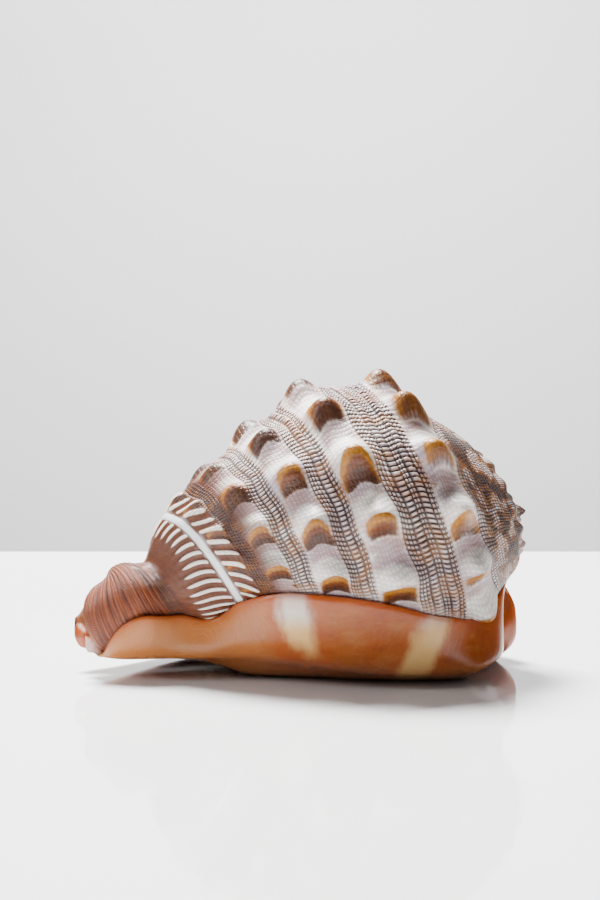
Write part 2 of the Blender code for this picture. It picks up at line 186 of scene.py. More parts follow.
# Colours of the whorls that the panel does not offer
MAUVE = (0.27, 0.165, 0.18)
KNOB_WHITE = (0.80, 0.77, 0.71)
FLAME_ORANGE = (0.28, 0.09, 0.010)
CHESTNUT = (0.14, 0.034, 0.009)
DARK_CHESTNUT = (0.045, 0.012, 0.005)
DEEP_GOLD = (0.26, 0.085, 0.005)
RUST = (0.15, 0.036, 0.005)
DARK_RUST = (0.07, 0.018, 0.005)
RIB_WHITE = (0.76, 0.70, 0.64)
CORD_WHITE = (0.72, 0.73, 0.75)
# Painted shade on the lower side of each bead
BEAD_PAINTED_SHADE = (0.46, 0.32, 0.29)
# Grooves between the beads: partly their own brown, partly painted shade
GROOVE_DARK = (0.045, 0.026, 0.024)
GROOVE_BROWN = (0.14, 0.055, 0.015)
STRAP_DARK = (0.05, 0.009, 0.003)
STRAP_LIGHT = (0.24, 0.050, 0.010)

# Colours of the shield and the underside
SHIELD_LIGHT = (0.28, 0.072, 0.012)
SHIELD_SWIRL = (0.37, 0.145, 0.04)
SHIELD_DEEP = (0.20, 0.032, 0.005)
SHIELD_TAN = (0.38, 0.135, 0.034)
LOWER_TAN = (0.34, 0.125, 0.032)
CREAM = (0.66, 0.40, 0.15)
CREAM_WHITE = (0.66, 0.62, 0.55)
CREAM_EDGE = (0.34, 0.065, 0.010)
CREST_ORANGE = (0.30, 0.045, 0.005)
LIP_ORANGE = (0.30, 0.055, 0.008)
INSIDE_BROWN = (0.30, 0.10, 0.04)
FOLD_DARK = (0.10, 0.03, 0.015)
TOOTH_CREAM = (0.82, 0.58, 0.34)
FOLD_CREAM = (0.80, 0.72, 0.62)
WALL_ROUGHNESS = 0.40
SHIELD_ROUGHNESS = 0.20

# Cream patches of the shield: slant, middle, half width, heights between which each fades in
CREAM_PATCHES = ((0.2, 0.0038, 0.0062, 0.009, 0.019), (-0.42, 0.034, 0.0055, -0.002, 0.001))

# Camera, in millimetres and degrees
CAMERA_PLACE = np.array([0.0, -646.439, 112.5 + REST_LIFT])
CAMERA_PITCH = 3.768

# Lights: name, place, what it points at, size, power, colour
LIGHTS = (
    ("softbox_above", (-0.20, 0.32, 0.93), (0.0, -0.02, 0.03), 0.36, 78.0, (1.0, 0.99, 0.97)),
    ("softbox_left", (-0.95, -0.25, 0.50), (0.0, 0.0, 0.04), 0.35, 6.0, (1.0, 1.0, 1.0)),
    ("softbox_front", (0.15, -1.3, 0.75), (0.0, -0.5, 0.0), 0.8, 1.6, (0.96, 0.98, 1.0)),
    ("softbox_wall", (0.0, 0.75, 0.75), (0.0, 1.6, 0.1), 0.9, 50.0, (1.0, 1.0, 1.0)),
)
ROOM_LIGHT = (0.93, 0.96, 1.0)
ROOM_STRENGTH = 0.12

# Stage, in metres
TABLE_LOW = (-1.6, -1.2, -0.03)
TABLE_SIDE = 1.6
BACKDROP_LOW = (-4.0, 1.6, -1.5)
BACKDROP_HIGH = (4.0, 1.65, 3.0)


def ease(value):
    value = np.clip(value, 0.0, 1.0)
    return value * value * (3.0 - 2.0 * value)


def window(value, rise_from, rise_to, fall_from, fall_to):
    """Rises from 0 to 1 and falls back to 0."""
    rise = ease((value - rise_from) / (rise_to - rise_from))
    return rise * ease((fall_to - value) / (fall_to - fall_from))


def smooth_curve(at, table, column=1):
    """Smooth curve through a table's points, read at the places given."""
    knots = np.array([line[0] for line in table])
    heights = np.array([line[column] for line in table])
    steps = np.diff(knots)
    slopes = np.diff(heights) / steps
    tangents = np.empty_like(heights)
    tangents[0] = slopes[0]
    tangents[-1] = slopes[-1]
    tangents[1:-1] = (slopes[:-1] * steps[1:] + slopes[1:] * steps[:-1]) / (steps[1:] + steps[:-1])
    at = np.clip(at, knots[0], knots[-1])
    cell = np.clip(np.searchsorted(knots, at, side="right") - 1, 0, len(steps) - 1)
    width = steps[cell]
    part = (at - knots[cell]) / width
    rest = 1.0 - part
    return (heights[cell] * (1.0 + 2.0 * part) * rest ** 2
            + heights[cell + 1] * (3.0 - 2.0 * part) * part ** 2
            + width * tangents[cell] * part * rest ** 2
            - width * tangents[cell + 1] * rest * part ** 2)


def smooth_point(at, table):
    return np.stack([smooth_curve(at, table, axis) for axis in (1, 2, 3)], axis=-1)


def axis_frame():
    along = np.array([
        -math.cos(AXIS_YAW) * math.cos(AXIS_PITCH),
        -math.sin(AXIS_YAW) * math.cos(AXIS_PITCH),
        -math.sin(AXIS_PITCH),
    ])
    near = np.array([math.sin(AXIS_YAW), -math.cos(AXIS_YAW), 0.0])
    return along, near, np.cross(along, near)


def coil_point(row, angle, radius, lift=0.0):
    """Place on the coil: row is the distance along the axis over the top of the shell."""
    along, near, up = axis_frame()
    turn = (angle - 90.0) / 360.0
    spire = 1.0 - ease((row - 22.0) / 18.0)
    growth = BODY_GROWTH + (SPIRE_GROWTH - BODY_GROWTH) * spire
    canal = ease((row - 112.0) / 30.0)
    growth = growth + (CANAL_GROWTH - growth) * canal
    late = ease((row - 24.0) / 16.0) * np.clip(turn, 0.0, None)
    scale = np.exp(growth * turn - (growth - FAR_GROWTH) * late)
    sag = (0.5 + 0.5 * np.cos(np.radians(angle + 70.0))) ** 1.5
    posterior = 1.0 - ease((row - 40.0) / 40.0)
    forward = row * scale - 5.0 * sag * posterior * ease(row / 22.0) - KNOB_LEAN * lift * posterior
    outward = radius * scale * np.exp(-FAR_FLATTENING * late) + lift
    drop = APEX_DROP * np.clip(1.0 - row / 50.0, 0.0, 1.0) ** 2
    drop = drop + CANAL_DROP * ease((row - 120.0) / 14.0)
    drop = drop + RIM_DROP * ease((row - 136.0) / 16.0)
    bend = CANAL_BEND * np.clip(row - 90.0, 0.0, None) ** 2
    turned = np.radians(angle)
    place = APEX + forward[..., None] * along
    place = place + (outward * np.cos(turned))[..., None] * near
    place = place + (outward * np.sin(turned) - drop)[..., None] * up
    place[..., 1] += bend
    return place


def knob_start(number):
    return KNOB_START + KNOB_SKEW[0] * number + KNOB_SKEW[1] * number ** 2


def knob_wave(angle, number):
    return 0.5 + 0.5 * np.cos(2.0 * np.pi * (angle - knob_start(number)) / KNOB_STEP)


def suture_height(row, angle):
    """Step between the whorls of the spire, with a string of small knobs on its apex side."""
    height = np.zeros(np.broadcast(row, angle).shape)
    wave = knob_wave(angle, 0)
    for place, size in SUTURES:
        from_step = (row - place) / size
        height = height - 1.1 * size * np.exp(-(from_step / 0.9) ** 2)
        height = height + size * (0.5 + 1.3 * wave) * np.exp(-((from_step + 2.0) / 1.1) ** 2)
    return height


def knob_height(row, angle):
    height = np.zeros(np.broadcast(row, angle).shape)
    for number, (centre, rise, half) in enumerate(KNOB_ROWS):
        wave = knob_wave(angle, number)
        band = np.exp(-np.abs((row - centre) / half) ** 2.4)
        height = height + rise * band * (0.14 + 0.86 * wave ** 1.9)
    return height


def pushed_row(row, angle):
    """Cords bend round the knobs: each is pushed away from the nearest knob row."""
    push = np.zeros(np.broadcast(row, angle).shape)
    for number, (centre, rise, half) in enumerate(KNOB_ROWS):
        away = row - centre
        wave = knob_wave(angle, number)
        strength = KNOB_PUSH * rise / 6.0 * (wave - 0.4)
        push = push + strength * np.tanh(away / 3.0) * np.exp(-(away / 10.0) ** 2)
    return row + push


def slanted_row(row, angle):
    """The groove beside the canal slants: towards the shield it lies nearer to the canal's end."""
    along = ease((row - 119.5) / 10.0) * ease((153.0 - row) / 10.0)
    return row - GROOVE_SLANT * ease((80.0 - angle) / 95.0) * along


def rim_shift(row, angle):
    """Moves the last rows of the coil onto the canal's rim."""
    last = np.full(np.broadcast(row, angle).shape, LAST_ROW)
    angle = angle + 0.0 * last
    plain = coil_point(last, angle, smooth_curve(last, WALL))
    return ease((row - 138.0) / (LAST_ROW - 138.0))[..., None] * (smooth_point(angle, CANAL_RIM) - plain)


def cavity_point(row, angle, share):
    """Place inside the shell: share 1 lies under the wall, 0 lies on the axis."""
    radius = smooth_curve(slanted_row(row, angle), WALL) - smooth_curve(row, WALL_THICKNESS) * np.exp(
        -BODY_GROWTH * (angle - 90.0) / 360.0)
    return coil_point(row, angle, np.maximum(radius, 1.0) * share) + rim_shift(row, angle)


def underside_keys(row, first, last, tooth, fold):
    """Points that the underside passes through, from the lip's outer face round to the shield's edge."""
    rim = smooth_point(row, LIP_RIM)
    foot = smooth_point(row, SHIELD_FOOT)
    slit = smooth_point(row, SLIT)
    half = smooth_curve(row, SLIT_HALF)
    depth = np.minimum(smooth_curve(row, CAVITY_DEPTH), 1.0)[:, None]

    def beside(base, y, z):
        moved = base.copy()
        moved[:, 1] += y
        moved[:, 2] = np.maximum(moved[:, 2] + z, -REST_LIFT)
        return moved

    lip_edge = beside(slit, half - tooth, -1.0)
    lip_inner = beside(slit, half, -1.0)
    lip_inner = lip_inner + 0.3 * (rim - lip_inner) + np.array([0.0, 0.0, -1.6])
    lip_foot = 0.55 * rim + 0.45 * lip_inner
    lip_foot[:, 2] = np.minimum(rim[:, 2] - 3.0, lip_foot[:, 2])
    inner_edge = beside(slit, -half, 0.0)
    shield_inner = inner_edge + 0.16 * (foot - inner_edge) + np.array([0.0, 0.0, -1.4])
    inner_edge = beside(inner_edge, fold, 0.0)
    shield_mid = 0.58 * foot + 0.42 * shield_inner
    shield_mid[:, 2] += 0.6 - PAD_DEPTH * ease((row - 38.0) / 8.0) * ease((124.0 - row) / 16.0)
    middle = 0.5 * (lip_edge + inner_edge)
    canal = ease((row - 116.0) / 16.0)
    throat_far = beside(slit, half + 2.0 - 1.8 * canal, 7.0 - 3.5 * canal)
    throat_far = middle + depth * (throat_far - middle)
    throat_near = beside(slit, -half - 1.5 + canal, 9.0 - 5.5 * canal)
    throat_near = middle + depth * (throat_near - middle)
    inside = []
    for angle, share, canal_angle in CAVITY:
        turned = angle + (canal_angle - angle) * canal
        place = cavity_point(row, turned, share + (1.0 - share) * canal)
        inside.append(middle + depth * (place - middle))
    height = np.linalg.norm(last - foot, axis=1)
    under = foot + 0.28 * (last - foot)
    under[:, 1] -= 0.16 * height + 0.6
    under[:, 2] -= 0.10 * height
    bulge = foot + 0.68 * (last - foot)
    bulge[:, 1] -= 0.10 * height + 1.6
    edge_size = (1.0 - 0.6 * ease((row - 138.0) / 12.0))[:, None]
    crest = last + edge_size * np.array([0.0, -2.4, 0.5])
    return [first, rim, lip_foot, lip_inner, lip_edge, throat_far, *inside, throat_near,
            inner_edge, shield_inner, shield_mid, foot, under, bulge, crest, last]


def through_keys(keys, columns):
    """Rounded path through the keys, with the number of columns given for each stretch."""
    places = []
    for number, count in enumerate(columns):
        before = keys[max(number - 1, 0)]
        start = keys[number]
        end = keys[number + 1]
        after = keys[min(number + 2, len(keys) - 1)]
        for step in range(count):
            part = step / count
            start_pull = 0.5 * (end - before)
            end_pull = 0.5 * (after - start)
            length = np.linalg.norm(end - start, axis=1, keepdims=True)
            for pull in (start_pull, end_pull):
                reach = np.linalg.norm(pull, axis=1, keepdims=True) + 1e-9
                pull *= np.minimum(1.0, length / reach)
            rest = 1.0 - part
            places.append(start * (1 + 2 * part) * rest ** 2 + end * (3 - 2 * part) * part ** 2
                          + start_pull * part * rest ** 2 - end_pull * rest * part ** 2)
    return places


def cord_rows():
    """Rows with their cord number, height of the cords and depth of the riblets."""
    rows = [-0.6]
    cords = [0.0]
    heights = [0.0]
    cuts = [0.0]
    start = -0.6
    number = 0
    for end, widths, height, cut in CORD_ZONES:
        stretch = (end - start) / sum(widths)
        for width in widths:
            width = width * stretch
            if width > 1.8:
                parts = (0.16, 0.5, 0.84, 1.0)
            else:
                parts = (0.5, 1.0)
            for part in parts:
                rows.append(start + width * part)
                cords.append(number + part)
                heights.append(height * min(1.0, 0.35 + 0.2 * width))
                cuts.append(cut)
            start = start + width
            number = number + 1
        start = end
    return np.array(rows), np.array(cords), np.array(heights), np.array(cuts)


def ridge(across, power=2.3):
    """1 on top of a cord or riblet and 0 in the groove on each side of it."""
    return 1.0 - np.abs(2.0 * (across - np.floor(across)) - 1.0) ** power


def wall_columns(rows):
    """Turning angle of every column of the wall before the riblets sway, and where the shield ends."""
    edge = smooth_curve(rows, SHIELD_EDGE)
    riblet = KNOB_STEP / RIBLETS_PER_KNOB
    even_to = EVEN_FROM + EVEN_COLUMNS * riblet / 3.0
    angles = []
    for step in range(NEAR_COLUMNS):
        angles.append(edge + (EVEN_FROM - edge) * step / NEAR_COLUMNS)
    for step in range(EVEN_COLUMNS):
        angles.append(np.full(rows.shape, EVEN_FROM + riblet / 3.0 * step))
    for step in range(FAR_COLUMNS + 1):
        angles.append(np.full(rows.shape, even_to + (LIP_ANGLE - even_to) * step / FAR_COLUMNS))
    angles = np.stack(angles, axis=1)
    return angles, edge[:, None]


def wall_sheet(rows, cords, heights, cuts, bead_height):
    """Places of the outer wall and what its pattern follows, rows by columns."""
    angles, edge = wall_columns(rows)
    row = rows[:, None] + 0.0 * angles
    near_fade = ease((angles - edge) / 10.0)
    far_fade = ease((LIP_ANGLE - angles) / 28.0)
    sway = 0.75 * np.sin(0.62 * row + 0.04 * angles) + 0.5 * np.sin(0.21 * row + 1.0)
    swayed = angles + sway * near_fade * far_fade
    riblet = KNOB_STEP / RIBLETS_PER_KNOB
    across_riblet = (angles - EVEN_FROM) / riblet
    bent = row + (pushed_row(row, swayed) - row) * near_fade * far_fade
    cord_top = ridge(cords)[:, None]
    riblet_top = ridge(across_riblet)
    cut = cuts[:, None]
    grain = np.sin(np.floor(across_riblet) * 12.9898 + np.floor(cords)[:, None] * 78.233) * 43758.5453
    uneven = 0.75 + 0.5 * (grain - np.floor(grain))
    relief = heights[:, None] * bead_height * uneven * cord_top * (1.0 - cut + cut * riblet_top)
    along_base = slanted_row(row, angles)
    rib_phase = (angles - 1.5 * (along_base - 118.0)) / BASE_RIB_STEP
    rib_top = ridge(rib_phase, 1.2) ** 1.6
    base = ease((along_base - 111.0) / 2.0) * ease((126.0 - along_base) / 3.0)
    smooth_cord = 1.0 - window(rows, 117.6, 118.1, 119.9, 120.4)[:, None]
    relief = relief + 0.75 * base * rib_top * smooth_cord
    knobs = knob_height(bent, swayed)
    lift = (knobs + relief) * near_fade * far_fade
    slanted = slanted_row(bent, swayed)
    radius = smooth_curve(slanted, WALL)
    steps = suture_height(bent, swayed)
    places = coil_point(bent, swayed, radius, lift) - steps[..., None] * axis_frame()[0]
    places = places + rim_shift(bent, swayed)
    opening = ease((rows - 19.0) / 9.0)[:, None, None]
    pull = ease((angles - 150.0) / (LIP_ANGLE - 150.0))[..., None]
    rim_target = smooth_point(rows, LIP_RIM) + np.array([0.0, 1.4, 5.5])
    wall_end = places[:, -1].copy()
    places = places + opening * pull * (rim_target - wall_end)[:, None, :]
    pattern = {
        "row": slanted,
        "angle": swayed,
        "riblet": across_riblet,
        "cord": cords[:, None] + 0.0 * angles,
        "rib": rib_top * base * smooth_cord,
        "glaze": 1.0 - ease((angles - edge) / 1.6) + 0.0 * row,
        "lines": np.clip(heights[:, None] / 0.18, 0.0, 1.0) * smooth_cord * near_fade ** 0.3 + 0.0 * row,
    }
    return places, wall_end, pattern


def shell_sheet(bead_height):
    """Every row's ring of places in metres, the wall's pattern, and the waves of the teeth and folds."""
    rows, cords, heights, cuts = cord_rows()
    places, wall_end, pattern = wall_sheet(rows, cords, heights, cuts, bead_height)
    first = places[:, -1]
    last = places[:, 0]
    toothed = ease((rows - 34.0) / 4.0) * ease((124.0 - rows) / 4.0)
    tooth_wave = toothed * (0.5 + 0.5 * np.cos(2.0 * np.pi * (rows - 36.0) / TOOTH_STEP))
    fold_wave = toothed * (0.5 + 0.5 * np.cos(2.0 * np.pi * rows / FOLD_STEP))
    keys = underside_keys(rows, first, last, 1.6 * tooth_wave ** 1.5, 0.9 * fold_wave)
    under = through_keys(keys, UNDER_COLUMNS)
    opening = ease((rows - 19.0) / 9.0)[:, None]
    columns = [places[:, number] for number in range(places.shape[1] - 1)]
    for number, place in enumerate(under):
        share = number / len(under)
        straight = wall_end * (1.0 - share) + last * share
        hump = 0.16 * np.sin(np.pi * share) * smooth_curve(rows, WALL)
        outward = straight - (APEX + rows[:, None] * axis_frame()[0])
        outward /= np.linalg.norm(outward, axis=1, keepdims=True) + 1e-9
        closed = straight + hump[:, None] * outward
        columns.append(closed + opening * (place - closed))
    sheet = np.stack(columns, axis=1)
    sheet[..., 2] = np.maximum(sheet[..., 2] + REST_LIFT, 0.0)
    return (sheet + PLACE_SHIFT) * MM, pattern, tooth_wave, fold_wave


def knob_marks(pattern):
    """How golden, brown, dark, lavender and pale the knob rows are at each place of the wall."""
    row = pattern["row"]
    angle = pattern["angle"]
    marks = {name: np.zeros(row.shape) for name in ("gold", "brown", "dark", "lavender", "pale")}
    for number, (centre, _, half) in enumerate(KNOB_ROWS):
        gold, brown = KNOB_TINTS[number]
        away = (row - centre) / half
        band = np.exp(-np.abs(away) ** 6.0)
        phase = (angle - knob_start(number)) / KNOB_STEP
        knob = np.round(phase)
        across = phase - knob
        vary = np.sin(2.3 * knob + 1.7 * number)
        vary_too = np.sin(4.1 * knob + 2.9 * number + 1.0)
        lower = ease((74.0 - angle) / 56.0)
        top = 0.27 - 0.24 * lower + 0.06 * vary
        arch = (0.13 + 0.06 * vary_too + 0.05 * lower) * away ** 2
        below = np.mod(top - across - arch, 1.0)
        narrow = np.exp(-np.abs(away / (0.92 + 0.08 * vary_too)) ** 6.0)
        length = 0.48 - 0.08 * lower + 0.05 * vary_too
        marks["gold"] += gold * narrow * window(below, 0.0, 0.07, length - 0.16, length)
        marks["brown"] += brown * narrow * window(below, 0.08, 0.22, length - 0.05, length + 0.08)
        marks["dark"] += brown * narrow * window(below, 0.16, 0.32, length - 0.03, length + 0.06)
        marks["lavender"] += band * window(below, length - 0.04, length + 0.08, length + 0.22, length + 0.40)
        marks["pale"] += band * window(below, 0.66, 0.80, 0.97, 1.0)
    return marks


def shell_paint(pattern, tooth_wave, fold_wave, count_under):
    """The numbers that the shell's finish reads, for every place of the sheet."""
    marks = knob_marks(pattern)
    row = pattern["row"][:, :-1]
    count_rows, count_wall = row.shape
    count = count_wall + count_under

    def whole(wall, under):
        values = np.empty((count_rows, count))
        values[:, count_wall:] = under
        values[:, :count_wall] = wall
        return values

    ground = ease((row - 99.0) / 9.0)
    strap = ease((row - 129.5) / 2.5)
    spire = 1.0 - ease((row - 30.0) / 6.0)
    white_cord = window(row, 117.9, 118.4, 119.6, 120.1)
    around = np.linspace(0.0, 1.0, count_under)[None, :] * np.ones((count_rows, 1))
    # The first rows close right round, so there the wall's pattern runs on over the underside
    closed = 1.0 - ease((pattern["row"][:, :1] - 21.0) / 5.0)
    last_riblet = pattern["riblet"][:, -1:]
    left_over = 360.0 * RIBLETS_PER_KNOB / KNOB_STEP - last_riblet + pattern["riblet"][:, :1]
    under_riblet = last_riblet + around * left_over
    under_cord = pattern["cord"][:, -1:] + 0.0 * around
    underside = whole(0.0, 0.0)
    underside[:, count_wall:] = around
    tooth = whole(0.0, 0.0)
    toothed = tooth_wave * ease((118.0 - pattern["row"][:, 0]) / 6.0)
    tooth[:, count_wall:] = toothed[:, None] * window(around, 0.12, 0.155, 0.21, 0.25)
    fold = whole(0.0, 0.0)
    fold[:, count_wall:] = fold_wave[:, None] * window(around, 0.55, 0.585, 0.63, 0.69)
    opened = 1.0 - closed
    on_wall = {name: values[:, :-1] for name, values in (*marks.items(), *pattern.items())}
    return {
        "marks": [whole(on_wall[name], 0) for name in ("gold", "brown", "lavender", "pale")],
        "zones": (whole(on_wall["lines"], closed), whole(on_wall["rib"], 0),
                  whole(on_wall["glaze"] * opened, opened), whole(strap, 0)),
        "shades": (whole(on_wall["dark"], 0), tooth, fold, whole(1, 1)),
        "grounds": (whole(ground, 0), whole(spire, closed), whole(white_cord, 0), underside),
        "coil": (whole(on_wall["riblet"], under_riblet), whole(on_wall["cord"], under_cord)),
    }


def edge_between(first, second):
    return next(edge for edge in first.link_edges if second in edge.verts)


def close_canal(mesh, ring):
    """Joins the outer and inner edges of the canal's rim, leaving the canal open."""
    wall_count = NEAR_COLUMNS + EVEN_COLUMNS + FAR_COLUMNS
    lip = wall_count + sum(UNDER_COLUMNS[:LIP_FOOT_KEY])
    foot = wall_count + sum(UNDER_COLUMNS[:SHIELD_FOOT_KEY])
    outer = ring[foot + 1:] + ring[:lip]
    inner = ring[lip + 1:foot]
    edges = []
    for chain in (outer, inner):
        for first, second in zip(chain, chain[1:]):
            edges.append(edge_between(first, second))
    bmesh.ops.bridge_loops(mesh, edges=edges)
    open_edges = [edge for edge in mesh.edges if edge.is_boundary]
    bmesh.ops.holes_fill(mesh, edges=open_edges, sides=4)


def make_shell_mesh(bead_height):
    """The shell as one sheet, bent from a sphere whose pole is the apex and whose far end is the canal."""
    sheet, pattern, tooth_wave, fold_wave = shell_sheet(bead_height)
    count_rows, count_columns = sheet.shape[:2]
    paint = shell_paint(pattern, tooth_wave, fold_wave, sum(UNDER_COLUMNS))
    mesh = bmesh.new()
    bmesh.ops.create_uvsphere(mesh, u_segments=count_columns, v_segments=count_rows + 1, radius=1.0)
    apex = (APEX + PLACE_SHIFT + np.array([0.9, 0.15, REST_LIFT - APEX_DROP + 0.3])) * MM
    end_pole = None
    last_ring = [None] * count_columns
    for vert in mesh.verts:
        polar = math.acos(max(-1.0, min(1.0, vert.co.z)))
        ring = round(polar / math.pi * (count_rows + 1)) - 1
        column = round(math.atan2(vert.co.y, vert.co.x) / (2.0 * math.pi) * count_columns) % count_columns
        if ring < 0:
            vert.co = apex
        elif ring >= count_rows:
            end_pole = vert
        else:
            vert.co = sheet[ring, column]
            if ring == count_rows - 1:
                last_ring[column] = vert
    bmesh.ops.delete(mesh, geom=[end_pole], context="VERTS")
    close_canal(mesh, last_ring)
    bmesh.ops.recalc_face_normals(mesh, faces=mesh.faces)
    if mesh.calc_volume(signed=True) < 0.0:
        bmesh.ops.reverse_faces(mesh, faces=mesh.faces)
    data = bpy.data.meshes.new("shell_skin")
    mesh.to_mesh(data)
    mesh.free()
    return data, sheet, paint


def paint_mesh(data, sheet, paint):
    """Stores the pattern's numbers on the mesh, matching each vertex to its place in the sheet."""
    places = np.empty(len(data.vertices) * 3)
    data.vertices.foreach_get("co", places)
    places = places.reshape(-1, 3)
    flat = sheet.reshape(-1, 3)
    keys = {tuple(place): number for number, place in enumerate(np.float32(flat).round(9).tolist())}
    order = np.array([keys.get(tuple(place), 0) for place in np.float32(places).round(9).tolist()])
    for name in ("marks", "zones", "grounds", "shades"):
        layer = data.color_attributes.new(name, "FLOAT_COLOR", "POINT")
        values = np.stack([channel.reshape(-1)[order] for channel in paint[name]], axis=1)
        layer.data.foreach_set("color", values.astype(np.float32).reshape(-1))
    loops = np.empty(len(data.loops), np.int32)
    data.loops.foreach_get("vertex_index", loops)
    layer = data.uv_layers.new(name="coil")
    values = np.stack([channel.reshape(-1)[order][loops] for channel in paint["coil"]], axis=1)
    layer.data.foreach_set("uv", values.astype(np.float32).reshape(-1))


class Finish:
    """Short ways to wire the nodes of one material."""

    def __init__(self, name):
        self.material = bpy.data.materials.new(name)
        self.material.use_nodes = True
        self.tree = self.material.node_tree
        self.shader = self.tree.nodes["Principled BSDF"]
        self.coordinates = self.tree.nodes.new("ShaderNodeTexCoord")

    def put(self, value, socket):
        if isinstance(value, bpy.types.NodeSocket):
            self.tree.links.new(value, socket)
        elif isinstance(value, (tuple, list)) and len(value) == 3 and socket.type == "RGBA":
            socket.default_value = (*value, 1.0)
        else:
            socket.default_value = value

    def math(self, operation, first, second=0.0, third=0.0):
        made = self.tree.nodes.new("ShaderNodeMath")
        made.operation = operation
        for number, value in enumerate((first, second, third)):
            self.put(value, made.inputs[number])
        return made.outputs[0]

    def times(self, first, second):
        return self.math("MULTIPLY", first, second)

    def plus(self, first, second):
        return self.math("ADD", first, second)

    def minus(self, first, second):
        return self.math("SUBTRACT", first, second)

    def parts(self, vector):
        split = self.tree.nodes.new("ShaderNodeSeparateXYZ")
        self.tree.links.new(vector, split.inputs[0])
        return split.outputs

    def mix(self, share, first, second, blend="MIX"):
        made = self.tree.nodes.new("ShaderNodeMix")
        made.data_type = "RGBA"
        made.blend_type = blend
        self.put(share, made.inputs[0])
        self.put(first, made.inputs[6])
        self.put(second, made.inputs[7])
        return made.outputs[2]

    def soft_step(self, value, low, high):
        made = self.tree.nodes.new("ShaderNodeMapRange")
        made.interpolation_type = "SMOOTHSTEP"
        self.put(value, made.inputs["Value"])
        made.inputs["From Min"].default_value = low
        made.inputs["From Max"].default_value = high
        return made.outputs["Result"]

    def channels(self, name):
        made = self.tree.nodes.new("ShaderNodeVertexColor")
        made.layer_name = name
        split = self.tree.nodes.new("ShaderNodeSeparateColor")
        self.tree.links.new(made.outputs["Color"], split.inputs[0])
        return split.outputs[0], split.outputs[1], split.outputs[2], made.outputs["Alpha"]

    def scaled(self, vector, scale):
        made = self.tree.nodes.new("ShaderNodeMapping")
        made.inputs["Scale"].default_value = scale
        self.tree.links.new(vector, made.inputs["Vector"])
        return made.outputs["Vector"]

    def noise(self, vector, scale, detail=3.0, roughness=0.55):
        made = self.tree.nodes.new("ShaderNodeTexNoise")
        self.tree.links.new(vector, made.inputs["Vector"])
        made.inputs["Scale"].default_value = scale
        made.inputs["Detail"].default_value = detail
        made.inputs["Roughness"].default_value = roughness
        return made.outputs["Fac"]

    def cells(self, vector):
        """A random number that is the same all over each bead."""
        made = self.tree.nodes.new("ShaderNodeTexWhiteNoise")
        made.noise_dimensions = "2D"
        floor = self.tree.nodes.new("ShaderNodeVectorMath")
        floor.operation = "FLOOR"
        self.tree.links.new(vector, floor.inputs[0])
        self.tree.links.new(floor.outputs[0], made.inputs["Vector"])
        return made.outputs["Value"]

    def bump(self, height, strength, distance):
        made = self.tree.nodes.new("ShaderNodeBump")
        self.tree.links.new(height, made.inputs["Height"])
        made.inputs["Strength"].default_value = strength
        made.inputs["Distance"].default_value = distance
        self.tree.links.new(made.outputs["Normal"], self.shader.inputs["Normal"])

    def groove(self, value, half_width):
        """1 in the groove at each whole number and 0 on the ridges between."""
        from_middle = self.math("ABSOLUTE", self.minus(self.math("FRACT", value), 0.5))
        return self.soft_step(from_middle, 0.5 - 2.0 * half_width, 0.5 - 0.5 * half_width)


class ShellFinish(Finish):
    """The shell's finish, with the numbers stored on its mesh ready to use."""

    def __init__(self, name):
        super().__init__(name)
        self.place = self.coordinates.outputs["Object"]
        coil = self.tree.nodes.new("ShaderNodeUVMap")
        coil.uv_map = "coil"
        self.coil = coil.outputs["UV"]
        self.riblet, self.cord = self.parts(self.coil)[:2]
        self.gold, self.brown, self.lavender, self.pale = self.channels("marks")
        self.lines, self.rib, self.glaze, self.strap = self.channels("zones")
        self.ground, self.spire, self.white_cord, self.underside = self.channels("grounds")
        self.dark_core, self.tooth, self.fold = self.channels("shades")[:3]
        self.broad = self.noise(self.place, 60.0, 4.0)
        self.streak = self.coil_noise((0.30, 1.3), 4.0, 0.65)
        self.patch = self.coil_noise((0.22, 0.16), 4.0, 0.6)
        self.edge_noise = self.times(self.minus(self.streak, 0.5), 0.5)
        self.strap_streak = self.coil_noise((0.02, 1.6), 3.0, 0.6)
        # Groove mask, used for the bump and for the grooves' colour, which is partly painted shade
        grooves = self.math("MAXIMUM", self.groove(self.riblet, 0.17), self.groove(self.cord, 0.14))
        self.line_share = self.times(grooves, self.lines)

    def coil_noise(self, scale, detail, roughness):
        """Noise that is stretched along the riblets and the cords."""
        return self.noise(self.scaled(self.coil, (*scale, 1.0)), 1.0, detail, roughness)


def whorl_colour(finish, look):
    """White and grey whorls with pinkish beads, and the mauve and pale parts of the knob rows."""
    pink = tuple(look.bead_colour)
    bead = finish.cells(finish.coil)
    grey = tuple(look.lavender_colour)
    wall = finish.mix(finish.soft_step(finish.broad, 0.40, 0.66), tuple(look.white_colour), grey)
    wall = finish.mix(finish.times(finish.soft_step(finish.patch, 0.44, 0.60), 0.6), wall, pink)
    tinted = finish.times(finish.soft_step(bead, 0.1, 1.0), finish.lines)
    wall = finish.mix(finish.times(tinted, 0.75), wall, pink)
    grey_share = finish.soft_step(finish.plus(finish.lavender, finish.edge_noise), 0.1, 1.0)
    wall = finish.mix(finish.times(grey_share, 0.75), wall, MAUVE)
    return finish.mix(finish.times(finish.pale, 0.85), wall, KNOB_WHITE)


def spire_and_base_colour(finish, look, wall):
    """Brown flames on the spire and chestnut on the base."""
    flame = finish.coil_noise((0.13, 0.20), 3.0, 0.55)
    flame = finish.plus(flame, finish.times(finish.edge_noise, 0.16))
    flames = finish.times(finish.soft_step(flame, 0.44, 0.49), finish.spire)
    brown = tuple(look.brown_colour)
    wall = finish.mix(flames, wall, finish.mix(finish.soft_step(flame, 0.49, 0.55), FLAME_ORANGE, brown))
    uneven = finish.plus(finish.patch, finish.times(finish.edge_noise, 0.3))
    share = finish.times(finish.ground, finish.soft_step(uneven, 0.10, 0.36))
    return finish.mix(share, wall, finish.mix(finish.streak, CHESTNUT, DARK_CHESTNUT))


